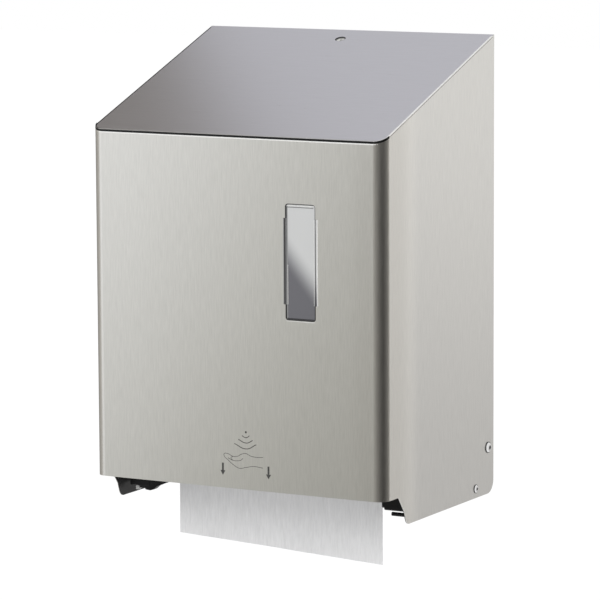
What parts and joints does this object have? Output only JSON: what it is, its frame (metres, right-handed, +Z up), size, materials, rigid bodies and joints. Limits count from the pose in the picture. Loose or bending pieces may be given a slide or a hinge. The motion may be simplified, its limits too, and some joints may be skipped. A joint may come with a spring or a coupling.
{
  "type": "automatic roll towel dispenser",
  "caption": "Wall-mounted touch-free paper roll towel dispenser with a slanted-top brushed steel hood, level window, motor feed chassis and hanging paper end.",
  "frame": {"origin": "centre of the four wall screw holes, on the back plate's rear face", "axes": "+X to the right seen from the front, +Y into the wall, +Z up; the front faces -Y"},
  "size_m": [0.2996, 0.2186, 0.4672],
  "materials": {
    "hood_steel": "vertical brushed grain",
    "top_steel": "brushed grain",
    "plain_steel": "satin",
    "screw_steel": "satin",
    "clear_window": "clear plastic",
    "lock_metal": "polished",
    "black_plastic": "fine grain",
    "grey_plastic": "satin",
    "gear_plastic": "satin",
    "roller_rubber": "matt",
    "white_paper": "creped",
    "core_board": "matt",
    "cell_wrap": "gloss",
    "contact_metal": "polished",
    "board_green": "gloss",
    "dark_lens": "gloss",
    "lamp_lens": "gloss",
    "spring_steel": "satin",
    "bush_brass": "satin"
  },
  "bodies": {
    "housing": {"back_plate": "plain_steel", "hood_pivot_screws": "screw_steel", "pivot_nuts": "screw_steel", "lock_strike": "plain_steel", "chassis_rear_wall": "black_plastic", "chassis_left_cheek": "black_plastic", "chassis_right_cheek": "black_plastic", "gear_cover": "black_plastic", "left_end_cover": "black_plastic", "roll_cradle": "black_plastic", "front_beam": "black_plastic", "tear_bar": "plain_steel", "outlet_guide": "black_plastic", "guide_bar": "plain_steel", "paper_web": "white_paper", "feed_bushes": "bush_brass", "idler_pin": "plain_steel", "motor": "plain_steel", "chassis_screws": "screw_steel", "pinch_springs": "spring_steel", "left_roll_arm": "plain_steel", "arm_bracket": "plain_steel", "arm_pin": "plain_steel", "arm_spring": "spring_steel", "battery_box": "black_plastic", "battery_cells": "cell_wrap", "battery_contacts": "contact_metal", "control_board": "board_green", "board_components": "black_plastic", "sensor_housing": "black_plastic", "sensor_lens": "dark_lens", "status_lamp": "lamp_lens"},
    "hood": {"front_cover": "hood_steel", "slanted_top": "top_steel", "level_window": "clear_window", "hood_stop_screws": "screw_steel", "lock_body": "lock_metal"},
    "lock": {"lock_plug": "lock_metal", "lock_cam": "plain_steel"},
    "right_arm": {"right_roll_arm": "plain_steel"},
    "hub_right": {"right_hub": "grey_plastic"},
    "hub_left": {"left_hub": "grey_plastic"},
    "roll": {"paper_roll": "white_paper", "roll_core": "core_board"},
    "feed_roller": {"feed_shaft": "plain_steel", "feed_sleeves": "roller_rubber", "feed_gear": "gear_plastic"},
    "idler": {"compound_gear": "gear_plastic"},
    "pinion": {"motor_pinion": "bush_brass"},
    "pinch_frame": {"pinch_arms": "black_plastic", "pinch_bar": "plain_steel", "release_lever": "plain_steel"},
    "pinch_roller": {"pinch_shaft": "plain_steel", "pinch_sleeves": "grey_plastic"},
    "button": {"feed_button": "grey_plastic"},
    "length_slider": {"length_switch": "grey_plastic"},
    "power_rocker": {"power_switch": "black_plastic"},
    "lid": {"battery_lid": "black_plastic"}
  },
  "joints": [
    {"name": "hood_hinge", "type": "hinge", "parent": "housing", "child": "hood", "pos_m": [0, -0.0374, -0.2679], "axis": [1, 0, 0], "range_deg": [0, 85]},
    {"name": "lock_turn", "type": "hinge", "parent": "hood", "child": "lock", "pos_m": [0, -0.02, 0.13675], "axis": [0, -0.3407, 0.9402], "range_deg": [-90, 0]},
    {"name": "arm_swing", "type": "hinge", "parent": "housing", "child": "right_arm", "pos_m": [0.11085, -0.014, -0.005], "axis": [0, 0, 1], "range_deg": [0, 12], "stiffness_Nm_per_rad": 0.6, "springref_deg": -22.92},
    {"name": "roll_spin", "type": "hinge", "parent": "housing", "child": "roll", "pos_m": [0, -0.105, -0.005], "axis": [1, 0, 0], "continuous": true},
    {"name": "left_hub_spin", "type": "hinge", "parent": "housing", "child": "hub_left", "pos_m": [0, -0.105, -0.005], "axis": [1, 0, 0], "continuous": true},
    {"name": "right_hub_spin", "type": "hinge", "parent": "right_arm", "child": "hub_right", "pos_m": [0, -0.105, -0.005], "axis": [1, 0, 0], "continuous": true},
    {"name": "feed_spin", "type": "hinge", "parent": "housing", "child": "feed_roller", "pos_m": [0, -0.127, -0.21], "axis": [1, 0, 0], "continuous": true},
    {"name": "idler_spin", "type": "hinge", "parent": "housing", "child": "idler", "pos_m": [0, -0.103, -0.203], "axis": [1, 0, 0], "continuous": true},
    {"name": "pinion_spin", "type": "hinge", "parent": "housing", "child": "pinion", "pos_m": [0, -0.07877, -0.1929], "axis": [1, 0, 0], "continuous": true},
    {"name": "pinch_release", "type": "hinge", "parent": "housing", "child": "pinch_frame", "pos_m": [0, -0.158, -0.184], "axis": [1, 0, 0], "range_deg": [-6, 0], "stiffness_Nm_per_rad": 1, "springref_deg": 22.92},
    {"name": "pinch_spin", "type": "hinge", "parent": "pinch_frame", "child": "pinch_roller", "pos_m": [0, -0.149, -0.21], "axis": [1, 0, 0], "continuous": true},
    {"name": "button_press", "type": "slide", "parent": "housing", "child": "button", "axis": [0, 0, 1], "range_m": [0, 0.0025], "stiffness_N_per_m": 300, "springref_m": -0.001},
    {"name": "length_slide", "type": "slide", "parent": "housing", "child": "length_slider", "axis": [0, 0, 1], "range_m": [-0.003, 0.003]},
    {"name": "power_rock", "type": "hinge", "parent": "housing", "child": "power_rocker", "pos_m": [0.13115, -0.1635, -0.233], "axis": [1, 0, 0], "range_deg": [-14, 0]},
    {"name": "lid_slide", "type": "slide", "parent": "housing", "child": "lid", "axis": [0, 0, 1], "range_m": [-0.05, 0]}
  ],
  "couplings": [
    {"joint": "left_hub_spin", "follows": "roll_spin", "ratio": 1},
    {"joint": "right_hub_spin", "follows": "roll_spin", "ratio": 1},
    {"joint": "feed_spin", "follows": "roll_spin", "ratio": 7.9167},
    {"joint": "idler_spin", "follows": "roll_spin", "ratio": -18.472},
    {"joint": "pinion_spin", "follows": "roll_spin", "ratio": 59.111},
    {"joint": "pinch_spin", "follows": "roll_spin", "ratio": -10.556}
  ]
}
